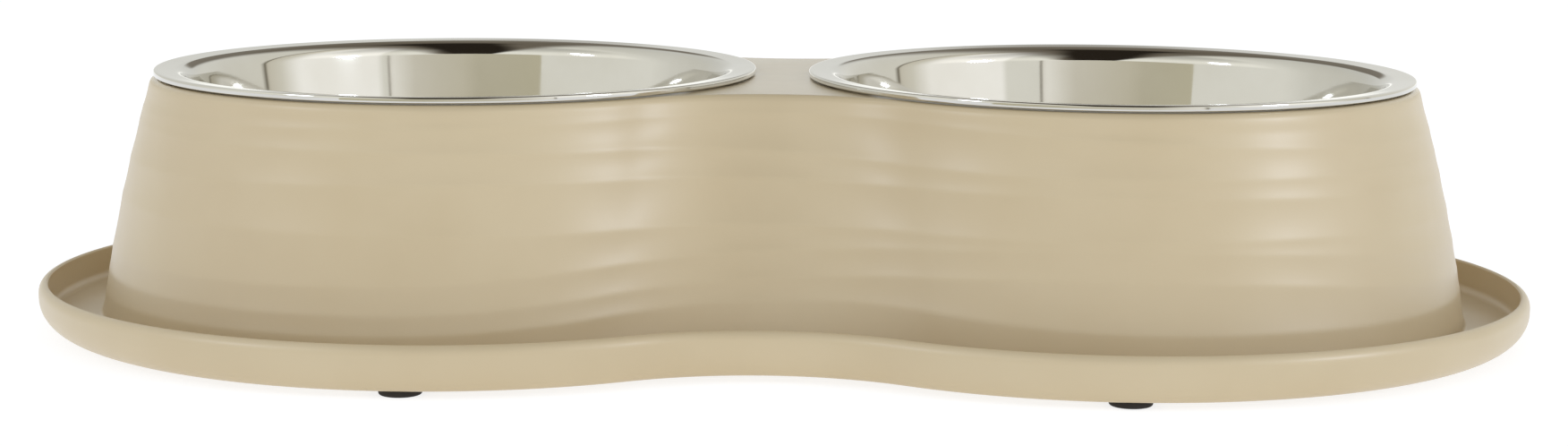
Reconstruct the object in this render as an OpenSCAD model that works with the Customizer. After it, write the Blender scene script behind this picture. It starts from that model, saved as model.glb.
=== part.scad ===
// Double pet bowl: a moulded figure-eight stand with a spill gutter, two lift-out steel bowls and four feet.
// Millimetres. The origin lies on the floor under the middle, +X runs from bowl to bowl, +Z is up.

/* [Bowls] */
// Outer diameter over the rolled rim of a bowl
rim_d = 160; // [145:0.5:170]
// Gap between the rims of the two bowls
rim_gap = 14.2; // [12:0.1:30]
// Inside depth of a bowl, from the top of its rim
bowl_depth = 47; // [30:0.5:52]
// Thickness of the steel sheet
sheet_t = 0.8; // [0.5:0.05:1.2]
// Diameter of the roll along the rim
roll_d = 1.7; // [1.4:0.1:3]
// Width of the flange between the roll and the bend
flange_w = 4.4; // [3:0.1:7]
// Fall of the flange towards the middle of the bowl, in degrees
flange_fall = 4; // [0:0.5:10]
// Radius of the bend from the flange into the wall
bend_r = 4.5; // [3:0.1:7]
// Lean of the bowl's wall from upright, in degrees
bowl_lean = 9; // [4:0.5:16]
// Radius between the bowl's wall and its floor
bowl_corner_r = 14; // [8:0.5:20]

/* [Stand] */
// Height of the deck above the floor
deck_h = 66.8; // [58:0.1:80]
// Width of the deck's edge outside a bowl's rim
deck_margin = 0.5; // [0.2:0.1:6]
// Half of the deck's depth at the waist
waist_top = 47.9; // [40:0.1:60]
// How much wider than at the deck the radius of a lobe is at the foot of the wall
wall_flare = 10.6; // [6:0.1:16]
// How much longer than round the outer half of a lobe is, at the foot of the wall
base_stretch = 3.5; // [0:0.1:6]
// Half of the depth at the waist, at the foot of the wall
waist_base = 67.6; // [55:0.1:76]
// Outward belly of the wall at half of its height
wall_belly = 1.2; // [0:0.1:3]
// Height of the soft ripples along the wall, each way from its mean surface
ripple_h = 0.35; // [0:0.05:0.8]
// Height of one ripple
ripple_pitch = 10.5; // [8:0.5:20]
// Thickness of the wall
wall_t = 2.8; // [2:0.1:3.4]
// Thickness of the deck
deck_t = 3; // [2:0.1:5]
// Radius along the edge of the deck
deck_edge_r = 1.6; // [0.8:0.1:3]
// Play between a bowl and its hole in the deck
hole_play = 0.8; // [0.4:0.1:1.2]

/* [Spill gutter] */
// Clear width between the foot of the wall and the lip, at the two ends
gutter_end = 14.1; // [11:0.1:20]
// The same along the front and back of a lobe
gutter_side = 13.4; // [11:0.1:20]
// The same at the waist
gutter_waist = 12.7; // [8:0.1:20]
// Height of the lip above the underside of the gutter
lip_h = 11.3; // [9:0.1:20]
// Thickness of the lip
lip_t = 2.5; // [1.6:0.1:3.5]
// Thickness of the gutter's floor
gutter_t = 2.9; // [2.4:0.1:5]
// Radius between the wall and the gutter's floor
cove_r = 1; // [0.6:0.1:4]
// Radius between the lip and the gutter's floor
lip_cove_r = 2.2; // [1:0.1:3]
// Height of the wide round that runs from the lip's top over to its outer side
lip_round = 2.6; // [1:0.1:3.5]
// Radius of the lip's crisp inner top edge
lip_edge_r = 0.5; // [0.3:0.1:1]
// Height of the upright band between the lip's wide round and the curve of its outer side
lip_band = 1.2; // [0.4:0.1:4]
// How far the lip's outer side curves in to the underside, along the front and back
lip_tuck = 3; // [1:0.1:4]
// The same at the two ends
lip_tuck_end = 8; // [3:0.1:10]

/* [Feet] */
// Diameter of a rubber foot
foot_d = 10.5; // [8:0.1:12]
// How far a foot stands out below the stand
foot_proud = 1.8; // [1:0.1:4]
// Depth of the socket that holds a foot
socket_depth = 1.2; // [0.6:0.1:1.6]
// Distance from the middle of the stand to a foot, along it
foot_x = 86.5; // [70:0.5:100]
// Flat rim left between a foot and the curve of the lip's outer side
foot_margin = 0.5; // [0.3:0.1:4]

/* [Hidden] */

stand_colour = "#c8b996";
steel_colour = "#d6d6d2";
rubber_colour = "#2a2019";

// Gap left under the roll of a rim, so that a bowl lifts off freely
seat_gap = 0.2;
// Gap round a foot in its socket
socket_play = 0.15;
// Round over the lower edge of a foot
foot_edge_r = 0.6;
// Cuts run this much past the face that they cut
overrun = 1;

// Share of the ripple height that comes and goes along the outline, and the angle at which it starts
fade_share = 0.38;
fade_start = 40;
// Angles by which the ripples wander, slowly and quickly, where 360 is one ripple
slow_drift = 50;
quick_drift = 35;

// Points on a quarter of the outline: along the waist, round the inner part of the lobe, then round its outer half
waist_steps = 5;
shoulder_steps = 6;
end_steps = 12;
quarter = waist_steps + shoulder_steps + end_steps;
around = 4 * quarter;
// Rings up the wall, round an edge, and on the plain inner side
wall_rings = 18;
edge_rings = 3;
tuck_rings = 5;
inner_rings = 3;
// Steps along the bends of the steel profile
bend_steps = 10;
$fn = 96;

rim_r = rim_d / 2;
roll_r = roll_d / 2;
half_pitch = rim_r + rim_gap / 2;
rim_top = deck_h + seat_gap + roll_d;

// A section of the stand is set by the radius r of its lobes round the bowls' own axes, its half depth w at the
// waist and the stretch e that makes the outer half of a lobe longer than round
top_r = rim_r + deck_margin;
base_r = top_r + wall_flare;
lip_r = base_r + gutter_side + lip_t;
waist_lip = waist_base + gutter_waist + lip_t;
lip_stretch = base_stretch + gutter_end - gutter_side;
gutter_z = foot_proud + gutter_t;
lip_top = foot_proud + lip_h;
tuck_h = lip_h - lip_round - lip_band;

// Radius of the hollow arc that joins two lobes at the waist
function waist_arc(r, w) = (half_pitch * half_pitch + w * w - r * r) / (2 * (r - w));

// Point number i of the first quarter, pushed out by d along its normal
function quarter_point(r, w, e, i, d) =
    let (a_r = waist_arc(r, w), turn = atan2(half_pitch, w + a_r), j = i - waist_steps - shoulder_steps)
    i <= waist_steps
        ? let (a = turn * i / waist_steps) [(a_r - d) * sin(a), w + a_r - (a_r - d) * cos(a)]
        : j <= 0
            ? let (a = 90 - turn * j / shoulder_steps) [half_pitch + (r + d) * cos(a), (r + d) * sin(a)]
            : let (a = 90 * (1 - j / end_steps)) [half_pitch + (r + d + e) * cos(a), (r + d) * sin(a)];

// Slow swelling and fading of the ripples along the outline, and how they wander up and down
function fade(k) = 1 - fade_share + fade_share * sin(3 * 360 * k / around + fade_start);
function drift(k) = slow_drift * sin(2 * 360 * k / around) + quick_drift * sin(5 * 360 * k / around);

// One closed ring of points; ripple is how much of the ripple height the ring carries
function ring(r, w, e, z, ripple = 0) = [
    for (k = [0 : around - 1])
        let (q = floor(k / quarter), j = k % quarter, i = q % 2 == 0 ? quarter - j : j,
             d = ripple * ripple_h * fade(k) * sin(360 * z / ripple_pitch + drift(k)),
             p = quarter_point(r, w, e, i, d))
        [q == 0 || q == 3 ? p.x : -p.x, q < 2 ? p.y : -p.y, z]];

// Share of the way down the wall, 0 at the deck and 1 at its foot, and the belly there
wall_foot_z = gutter_z + cove_r;
function down(z) = (deck_h - z) / (deck_h - wall_foot_z);
function belly(z) = wall_belly * 4 * down(z) * (1 - down(z));
function wall_r(z) = top_r + wall_flare * down(z) + belly(z);
function wall_w(z) = waist_top + (waist_base - waist_top) * down(z) + belly(z);

// Rings that lie in by a distance from the outline of the wall, of the wall's foot and of the lip; tuck is how
// much of the lip's curve inwards the ring carries
function wall_ring(z, inset = 0, ripple = 0) =
    ring(wall_r(z) - inset, wall_w(z) - inset, base_stretch * down(z), z, ripple);
function foot_ring(z, inset) = ring(base_r - inset, waist_base - inset, base_stretch, z);
function lip_ring(z, inset, tuck = 0) =
    ring(lip_r - inset - tuck * lip_tuck, waist_lip - inset - tuck * lip_tuck,
         lip_stretch - tuck * (lip_tuck_end - lip_tuck), z);

// Outer skin, from the underside of the lip over the gutter and up the wall to the deck
outer_skin = [
    for (i = [0 : tuck_rings]) let (a = 90 * i / tuck_rings)
        lip_ring(foot_proud + tuck_h * (1 - cos(a)), 0, 1 - sin(a)),
    for (i = [0 : edge_rings]) let (a = 90 * i / edge_rings)
        lip_ring(lip_top - lip_round * (1 - sin(a)), (lip_t - lip_edge_r) * (1 - cos(a))),
    for (i = [1 : edge_rings]) let (a = 90 * i / edge_rings)
        lip_ring(lip_top - lip_edge_r * (1 - cos(a)), lip_t - lip_edge_r * (1 - sin(a))),
    for (i = [0 : edge_rings]) let (a = 90 * i / edge_rings)
        lip_ring(gutter_z + lip_cove_r * (1 - sin(a)), lip_t + lip_cove_r * (1 - cos(a))),
    for (i = [0 : edge_rings - 1]) let (a = 90 * i / edge_rings)
        foot_ring(gutter_z + cove_r * (1 - cos(a)), -cove_r * (1 - sin(a))),
    for (i = [0 : wall_rings])
        wall_ring(wall_foot_z + (deck_h - deck_edge_r - wall_foot_z) * i / wall_rings, 0,
                  i == 0 || i == wall_rings ? 0 : 1),
    for (i = [1 : edge_rings]) let (a = 90 * i / edge_rings)
        wall_ring(deck_h - deck_edge_r * (1 - sin(a)), deck_edge_r * (1 - cos(a)))];

// Inner skin, from the deck's underside down to the open bottom
inner_top = deck_h - deck_t;
inner_skin = [
    wall_ring(inner_top, wall_t + deck_edge_r),
    wall_ring(inner_top - deck_edge_r, wall_t),
    for (i = [1 : inner_rings])
        wall_ring(inner_top - deck_edge_r - (inner_top - deck_edge_r - wall_foot_z) * i / inner_rings, wall_t),
    foot_ring(foot_proud, wall_t)];

// Quads between two neighbouring rings, and the strip that closes a ring from front to back
function band(m) = [
    for (k = [0 : around - 1]) let (a = m * around + k, b = m * around + (k + 1) % around)
        each [[a, b, b + around], [a, b + around, a + around]]];
function cap(m, up) = [
    for (k = [0 : around / 2 - 1])
        let (o = m * around, a = o + k, b = o + k + 1, c = o + around - k - 1, d = o + (around - k) % around,
             t = [if (k < around / 2 - 1) [a, b, c], if (k > 0) [a, c, d]])
        each up ? t : [for (f = t) [f[0], f[2], f[1]]]];

module moulding() {
    rings = concat(outer_skin, inner_skin);
    last = len(rings) - 1;
    deck_ring = len(outer_skin) - 1;
    closing = [for (k = [0 : around - 1]) let (a = last * around + k, b = last * around + (k + 1) % around,
                                               c = k, d = (k + 1) % around)
        each [[a, b, d], [a, d, c]]];
    faces = concat(
        [for (m = [0 : last - 1]) if (m != deck_ring) each band(m)],
        closing, cap(deck_ring, true), cap(deck_ring + 1, false));
    polyhedron(points = [for (r = rings) each r], faces = [for (f = faces) [f[0], f[2], f[1]]]);
}

// Steel profile: centres of the two bends, seen with the bowl's axis at zero
fall_n = [-sin(flange_fall), cos(flange_fall)];
lean_n = [-cos(bowl_lean), sin(bowl_lean)];
roll_c = [rim_r - roll_r, rim_top - roll_r];
bend_c = roll_c + (roll_r - bend_r) * fall_n - flange_w * [cos(flange_fall), sin(flange_fall)];
floor_z = rim_top - bowl_depth;
corner_z = floor_z + bowl_corner_r;
wall_top = bend_c + bend_r * lean_n;
corner_x = wall_top.x - (bowl_corner_r - (corner_z - wall_top.y) * lean_n.y) / cos(bowl_lean);

// The bowl's underside at the level of the deck sets the hole
bend_drop = deck_h - bend_c.y;
hole_r = bend_c.x - sqrt(max(0, pow(bend_r - sheet_t, 2) - pow(bend_drop, 2))) + hole_play;

function arc(c, r, a0, a1, n) = [for (i = [0 : n]) let (a = a0 + (a1 - a0) * i / n) c + r * [cos(a), sin(a)]];

// The sheet's path: over the flange, down the wall and along the floor, on the side given by t
function sheet_side(t) = concat(
    arc(bend_c, bend_r - t, 90 + flange_fall, 180 - bowl_lean, bend_steps),
    arc([corner_x, corner_z], bowl_corner_r + t, -bowl_lean, -90, bend_steps),
    [[0, floor_z - t]]);

module bowl(side) {
    inside = sheet_side(0);
    outside = sheet_side(sheet_t);
    color(steel_colour) translate([side * half_pitch, 0, 0]) rotate_extrude()
        polygon(concat(
            arc(roll_c, roll_r, -180, 90 + flange_fall, 2 * bend_steps),
            inside,
            [for (i = [len(outside) - 1 : -1 : 0]) outside[i]]));
}

// Feet stand under the gutter, on a circle round the lobe near the outer edge of the flat underside
foot_ring_r = lip_r - lip_tuck - foot_margin - foot_d / 2;
foot_y = sqrt(pow(foot_ring_r, 2) - pow(foot_x - half_pitch, 2));

module at_foot(side, row) {
    translate([side * foot_x, row * foot_y, 0]) children();
}

module foot(side, row) {
    r = foot_d / 2;
    color(rubber_colour) at_foot(side, row) rotate_extrude() polygon(concat(
        [[0, 0]],
        arc([r - foot_edge_r, foot_edge_r], foot_edge_r, -90, 0, bend_steps / 2),
        [[r, foot_proud + socket_depth], [0, foot_proud + socket_depth]]));
}

module stand() {
    color(stand_colour) difference() {
        moulding();
        for (side = [-1, 1]) {
            translate([side * half_pitch, 0, inner_top - overrun])
                cylinder(h = deck_t + 2 * overrun, r = hole_r);
            for (row = [-1, 1])
                at_foot(side, row) translate([0, 0, foot_proud - overrun])
                    cylinder(h = socket_depth + overrun, d = foot_d + 2 * socket_play);
        }
    }
}

stand();
bowl(-1);  // bowl_left
bowl(1);  // bowl_right
foot(-1, -1);  // foot_front_left
foot(1, -1);  // foot_front_right
foot(-1, 1);  // foot_back_left
foot(1, 1);  // foot_back_right
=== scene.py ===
"""Double pet bowl: a moulded figure-eight stand with a spill gutter, two lift-out steel bowls and four feet.

Lengths are metres and angles degrees unless a name says otherwise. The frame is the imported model's own: the
origin lies on the floor under the middle of the stand, +X runs from bowl to bowl, +Y towards the back, +Z up.
"""

import logging
from dataclasses import dataclass
from enum import Enum

import bmesh
import bpy
import numpy as np
from mathutils import Matrix, Vector
from mathutils.geometry import delaunay_2d_cdt

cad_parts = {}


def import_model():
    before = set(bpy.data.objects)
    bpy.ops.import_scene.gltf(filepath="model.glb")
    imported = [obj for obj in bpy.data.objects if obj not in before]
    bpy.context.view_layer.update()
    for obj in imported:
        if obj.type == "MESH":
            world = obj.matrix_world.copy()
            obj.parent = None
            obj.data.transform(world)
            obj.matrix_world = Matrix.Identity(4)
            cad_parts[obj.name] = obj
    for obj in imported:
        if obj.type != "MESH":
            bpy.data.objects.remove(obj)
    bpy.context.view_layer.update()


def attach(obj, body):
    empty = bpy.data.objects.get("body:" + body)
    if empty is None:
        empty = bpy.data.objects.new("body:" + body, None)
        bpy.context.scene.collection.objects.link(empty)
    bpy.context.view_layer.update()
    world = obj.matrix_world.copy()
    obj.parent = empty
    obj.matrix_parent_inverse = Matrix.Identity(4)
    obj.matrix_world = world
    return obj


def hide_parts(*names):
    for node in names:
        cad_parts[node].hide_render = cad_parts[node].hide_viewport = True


Socket = bpy.types.NodeSocket
Colour = tuple[float, float, float, float]
Spot = tuple[float, float]
Place = tuple[float, float, float]
Patch = tuple[np.ndarray, np.ndarray]
Stops = tuple[tuple[float, tuple[int, int, int]], ...]

LOG = logging.getLogger("double_pet_bowl")
MERGE_DISTANCE = 2e-6
FILL_TOLERANCE = 1e-7
FILL_INSIDE_ONLY = 1
MIRROR_GAIN = 1.35
SRGB_KNEE = 0.04045
SRGB_SLOPE = 12.92
SRGB_OFFSET = 0.055
SRGB_POWER = 2.4


class Side(Enum):
    """The two ends of the stand; the value is the sign of X there."""

    LEFT = -1
    RIGHT = 1


class Row(Enum):
    """The two long sides of the stand; the value is the sign of Y there."""

    FRONT = -1
    BACK = 1


def srgb(red: float, green: float, blue: float) -> Colour:
    """Turns a colour of 0 to 255, as a screen shows it, into a linear one with full alpha.

    Args:
        red: Share of red.
        green: Share of green.
        blue: Share of blue.

    Returns:
        The linear colour: a straight line below the knee, and a power above it.
    """
    shares = np.array([red, green, blue]) / 255
    curve = ((shares + SRGB_OFFSET) / (1 + SRGB_OFFSET)) ** SRGB_POWER
    linear = np.where(shares <= SRGB_KNEE, shares / SRGB_SLOPE, curve)
    return (*[float(v) for v in linear], 1.0)


def arc(centre: Spot, radius: float, start: float, end: float, steps: int) -> np.ndarray:
    """Points on a circular arc: centre plus the radius times the cosine and sine of evenly spaced angles.

    Args:
        centre: Middle of the circle.
        radius: Its radius.
        start: First angle, in degrees.
        end: Last angle, in degrees.
        steps: Number of steps between them.

    Returns:
        An array of steps + 1 points.
    """
    turn = np.radians(np.linspace(start, end, steps + 1))
    return np.column_stack([centre[0] + radius * np.cos(turn), centre[1] + radius * np.sin(turn)])


def grid_faces(rows: int, columns: int, closed: bool) -> np.ndarray:
    """Quads between the neighbouring points of a grid, counted row by row.

    Args:
        rows: Number of rows.
        columns: Number of points in a row.
        closed: Whether the last point of a row joins the first.

    Returns:
        An array of four point numbers for each quad.
    """
    across = np.arange(columns if closed else columns - 1)
    low = np.arange(rows - 1)[:, None] * columns
    a, b = low + across, low + (across + 1) % columns
    return np.stack([a, b, b + columns, a + columns], axis=-1).reshape(-1, 4)


def revolve(profile: np.ndarray, middle: Spot, steps: int) -> Patch:
    """Carries a profile round an upright axis: x and y are its radius times the cosine and sine of the turn.

    Args:
        profile: Radius and height of each point.
        middle: Where the axis stands.
        steps: Number of steps round the axis.

    Returns:
        The points and the quads.
    """
    turn = np.linspace(0, 2 * np.pi, steps, endpoint=False)
    radius, height = profile[:, 0, None], profile[:, 1, None]
    points = np.stack([middle[0] + radius * np.cos(turn), middle[1] + radius * np.sin(turn),
                       np.broadcast_to(height, (len(profile), steps))], axis=-1)
    return points.reshape(-1, 3), grid_faces(len(profile), steps, closed=True)


class Skin:
    """Collects patches of points and faces, and sews them into one closed mesh."""

    def __init__(self) -> None:
        """Starts with no patch."""
        self.points: list[np.ndarray] = []
        self.faces: list[list[int]] = []
        self.count = 0

    def add(self, points: np.ndarray, faces: np.ndarray) -> None:
        """Adds a patch.

        Args:
            points: Its points, one row each.
            faces: Point numbers of its faces, within the patch.
        """
        self.points.append(points.reshape(-1, 3))
        self.faces.extend((np.asarray(faces) + self.count).tolist())
        self.count += self.points[-1].shape[0]

    def sew(self, name: str, crease: float) -> bpy.types.Object:
        """Merges the patches' shared edges, points the faces outwards and makes the object.

        Args:
            name: Name of the object.
            crease: Angle, in degrees, from which an edge between two faces shows as sharp.

        Returns:
            The object, at the origin.
        """
        mesh = bpy.data.meshes.new(name)
        mesh.from_pydata(np.concatenate(self.points).tolist(), [], self.faces)
        work = bmesh.new()
        work.from_mesh(mesh)
        bmesh.ops.remove_doubles(work, verts=work.verts, dist=MERGE_DISTANCE)
        bmesh.ops.dissolve_degenerate(work, edges=work.edges, dist=MERGE_DISTANCE)
        bmesh.ops.recalc_face_normals(work, faces=work.faces)
        if work.calc_volume(signed=True) < 0:
            bmesh.ops.reverse_faces(work, faces=work.faces)
        loose = sum(not edge.is_manifold for edge in work.edges)
        work.to_mesh(mesh)
        work.free()
        mesh.shade_smooth()
        mesh.set_sharp_from_angle(angle=np.radians(crease))
        piece = bpy.data.objects.new(name, mesh)
        bpy.context.scene.collection.objects.link(piece)
        LOG.info("%s: %d faces, %d open edges", name, len(mesh.polygons), loose)
        return piece


@dataclass(frozen=True)
class Fade:
    """A change between two levels over a range of values, even or eased in and out, and held outside it."""

    start: float
    end: float
    before: float = 0.0
    after: float = 1.0
    eased: bool = False


@dataclass(frozen=True)
class Pattern:
    """A noise pattern: its waves per metre, its number of finer layers and their weight."""

    scale: float
    layers: float
    weight: float = 0.5


class NodeTree:
    """A short way to write shader nodes: each call makes one node and links what feeds it."""

    def __init__(self, tree: bpy.types.NodeTree) -> None:
        """Empties a tree and keeps it.

        Args:
            tree: Node tree of a material or a world.
        """
        tree.nodes.clear()
        self.tree = tree

    def node(self, kind: str, feeds: dict | None = None, **settings: object) -> bpy.types.Node:
        """Makes a node.

        Args:
            kind: Blender's name of the node type, without its ShaderNode prefix.
            feeds: Input name or number to a value, or to the socket that feeds it.
            settings: Properties of the node.

        Returns:
            The node.
        """
        made = self.tree.nodes.new("ShaderNode" + kind)
        for name, value in settings.items():
            setattr(made, name, value)
        for key, value in (feeds or {}).items():
            self.feed(value, made.inputs[key])
        return made

    def feed(self, value: object, socket: Socket) -> None:
        """Links a socket, or sets a plain value.

        Args:
            value: Socket or value.
            socket: Where it goes.
        """
        if isinstance(value, Socket):
            self.tree.links.new(value, socket)
        else:
            socket.default_value = value

    def math(self, operation: str, *values: object) -> Socket:
        """A Math node's result.

        Args:
            operation: What it works out.
            values: Numbers or sockets.

        Returns:
            The output socket.
        """
        return self.node("Math", dict(enumerate(values)), operation=operation).outputs[0]

    def noise(self, where: Socket, pattern: Pattern) -> Socket:
        """A noise pattern's value.

        Args:
            where: Coordinates.
            pattern: The pattern.

        Returns:
            The output socket.
        """
        return self.node("TexNoise", {"Vector": where, "Scale": pattern.scale, "Detail": pattern.layers,
                                      "Roughness": pattern.weight}).outputs["Fac"]

    def bump(self, height: Socket, depth: float, under: Socket | None = None) -> Socket:
        """Raises a surface by a pattern.

        Args:
            height: The pattern's value.
            depth: Distance by which a value of 1 raises the surface.
            under: Normal of the bumps below these, if there are any.

        Returns:
            The new normal.
        """
        feeds = {"Height": height, "Distance": depth, "Strength": 1.0}
        if under is not None:
            feeds["Normal"] = under
        return self.node("Bump", feeds).outputs["Normal"]

    def fade(self, value: Socket, fade: Fade) -> Socket:
        """Maps a value by a fade.

        Args:
            value: What is mapped.
            fade: The range, and the levels before and after it.

        Returns:
            The output socket.
        """
        feeds = {"Value": value, "From Min": fade.start, "From Max": fade.end, "To Min": fade.before,
                 "To Max": fade.after}
        easing = "SMOOTHSTEP" if fade.eased else "LINEAR"
        return self.node("MapRange", feeds, interpolation_type=easing, clamp=True).outputs["Result"]

    def blend(self, share: Socket, first: object, second: object) -> Socket:
        """Mixes two colours.

        Args:
            share: Share of the second one.
            first: Colour or socket at a share of 0.
            second: Colour or socket at a share of 1.

        Returns:
            The output socket.
        """
        made = self.node("Mix", data_type="RGBA")
        self.feed(share, made.inputs["Factor"])
        for value, name in ((first, "A"), (second, "B")):
            self.feed(value, next(s for s in made.inputs if s.name == name and s.type == "RGBA"))
        return next(s for s in made.outputs if s.type == "RGBA")

    def ramp(self, value: Socket, reach: Fade, stops: Stops) -> Socket:
        """Turns a value into a colour, evenly between the stops that it lies between.

        Args:
            value: What picks the colour.
            reach: Range of the values.
            stops: Value and colour, 0 to 255, of each stop, in order.

        Returns:
            The colour socket.
        """
        made = self.node("ValToRGB", {"Fac": self.fade(value, reach)})
        elements = made.color_ramp.elements
        while len(elements) < len(stops):
            elements.new(1.0)
        for element, (place, _) in zip(elements, stops):
            element.position = (place - reach.start) / (reach.end - reach.start)
        for element, (_, colour) in zip(elements, stops):
            element.color = srgb(*colour)
        return made.outputs["Color"]

    def mirrored(self, path: bpy.types.Node) -> Socket:
        """Tells whether a ray comes from gloss or glass.

        Args:
            path: The tree's Light Path node.

        Returns:
            A share of 1 for such a ray, and 0 for others.
        """
        return self.math("MAXIMUM", path.outputs["Is Glossy Ray"], path.outputs["Is Transmission Ray"])


def fresh_material(name: str) -> tuple[bpy.types.Material, NodeTree]:
    """Makes a material whose node tree is empty.

    Args:
        name: Its name.

    Returns:
        The material and its nodes.
    """
    material = bpy.data.materials.new(name)
    material.use_nodes = True
    return material, NodeTree(material.node_tree)


@dataclass(frozen=True)
class MouldedPlastic:
    """Satin beige moulding: a faint mottle, an uneven sheen, the fine grain of the mould and a smoother deck.

    The sheen is a level of roughness. The deck's polish is taken off it, from a millimetre below the deck up.
    """

    colour: Colour = srgb(203, 184, 147)
    shade: Colour = srgb(199, 179, 141)
    mottle: Pattern = Pattern(24, 3)
    mottle_share: Fade = Fade(0.35, 0.65)
    sheen: Pattern = Pattern(60, 4)
    sheen_level: Fade = Fade(0.3, 0.7, 0.42, 0.48)
    deck_polish: Fade = Fade(0.0656, 0.0667, 0.0, 0.28, eased=True)
    grain: Pattern = Pattern(1900, 2)
    grain_depth: float = 0.000012
    swirl: Pattern = Pattern(110, 1)
    swirl_depth: float = 0.00002
    refraction: float = 1.55
    coat: float = 0.6
    coat_roughness: float = 0.33

    def make(self, name: str) -> bpy.types.Material:
        """Makes the material.

        Args:
            name: Its name.

        Returns:
            The material.
        """
        material, t = fresh_material(name)
        where = t.node("TexCoord").outputs["Object"]
        colour = t.blend(t.fade(t.noise(where, self.mottle), self.mottle_share), self.shade, self.colour)
        height = t.node("SeparateXYZ", {"Vector": where}).outputs["Z"]
        gloss = t.math("SUBTRACT", t.fade(t.noise(where, self.sheen), self.sheen_level),
                       t.fade(height, self.deck_polish))
        grain = t.bump(t.noise(where, self.grain), self.grain_depth)
        swirl = t.bump(t.noise(where, self.swirl), self.swirl_depth, grain)
        shader = t.node("BsdfPrincipled", {"Base Color": colour, "Roughness": gloss, "Normal": swirl,
                                           "IOR": self.refraction, "Coat Weight": self.coat,
                                           "Coat Roughness": self.coat_roughness})
        t.node("OutputMaterial", {"Surface": shader.outputs["BSDF"]})
        return material


@dataclass(frozen=True)
class MirrorSteel:
    """Polished steel: faint spin lines round the bowl's own axis, a trace of wiping marks and a satin floor.

    The polish is a level of roughness, and the satin is added to it, near the bowl's axis.
    """

    colour: Colour = srgb(210, 209, 204)
    dull: Colour = srgb(203, 201, 194)
    spin: Pattern = Pattern(2600, 3, 0.6)
    spin_depth: float = 0.0000012
    smear: Pattern = Pattern(35, 4)
    smear_share: Fade = Fade(0.35, 0.7)
    polish: Fade = Fade(0.0, 1.0, 0.035, 0.085)
    satin: Fade = Fade(0.043, 0.050, 0.30, 0.0, eased=True)

    def make(self, name: str, middle: Spot) -> bpy.types.Material:
        """Makes the material for one bowl.

        Args:
            name: Its name.
            middle: Where the bowl's axis stands.

        Returns:
            The material.
        """
        material, t = fresh_material(name)
        where = t.node("TexCoord").outputs["Object"]
        centre = (-middle[0], -middle[1], 0.0)
        centred = t.node("Mapping", {"Vector": where, "Location": centre}).outputs["Vector"]
        parts = t.node("SeparateXYZ", {"Vector": centred})
        squares = [t.math("POWER", parts.outputs[axis], 2.0) for axis in "XY"]
        radius = t.math("SQRT", t.math("ADD", *squares))
        rings = t.node("CombineXYZ", {"X": radius, "Y": parts.outputs["Z"]}).outputs["Vector"]
        smear = t.fade(t.noise(centred, self.smear), self.smear_share)
        gloss = t.math("ADD", t.fade(smear, self.polish), t.fade(radius, self.satin))
        normal = t.bump(t.noise(rings, self.spin), self.spin_depth)
        shader = t.node("BsdfPrincipled", {"Base Color": t.blend(smear, self.colour, self.dull),
                                           "Metallic": 1.0, "Roughness": gloss, "Normal": normal})
        t.node("OutputMaterial", {"Surface": shader.outputs["BSDF"]})
        return material


@dataclass(frozen=True)
class FootRubber:
    """Dark brown rubber with a dusty bloom and a fine grain."""

    colour: Colour = srgb(26, 20, 14)
    bloom: Colour = srgb(44, 35, 26)
    dust: Pattern = Pattern(260, 4)
    dust_share: Fade = Fade(0.45, 0.75, 0.0, 0.6)
    grain: Pattern = Pattern(2400, 2)
    grain_depth: float = 0.00003
    roughness: float = 0.72

    def make(self, name: str) -> bpy.types.Material:
        """Makes the material.

        Args:
            name: Its name.

        Returns:
            The material.
        """
        material, t = fresh_material(name)
        where = t.node("TexCoord").outputs["Object"]
        dust = t.fade(t.noise(where, self.dust), self.dust_share)
        normal = t.bump(t.noise(where, self.grain), self.grain_depth)
        shader = t.node("BsdfPrincipled", {"Base Color": t.blend(dust, self.colour, self.bloom),
                                           "Roughness": self.roughness, "Normal": normal})
        t.node("OutputMaterial", {"Surface": shader.outputs["BSDF"]})
        return material


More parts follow.
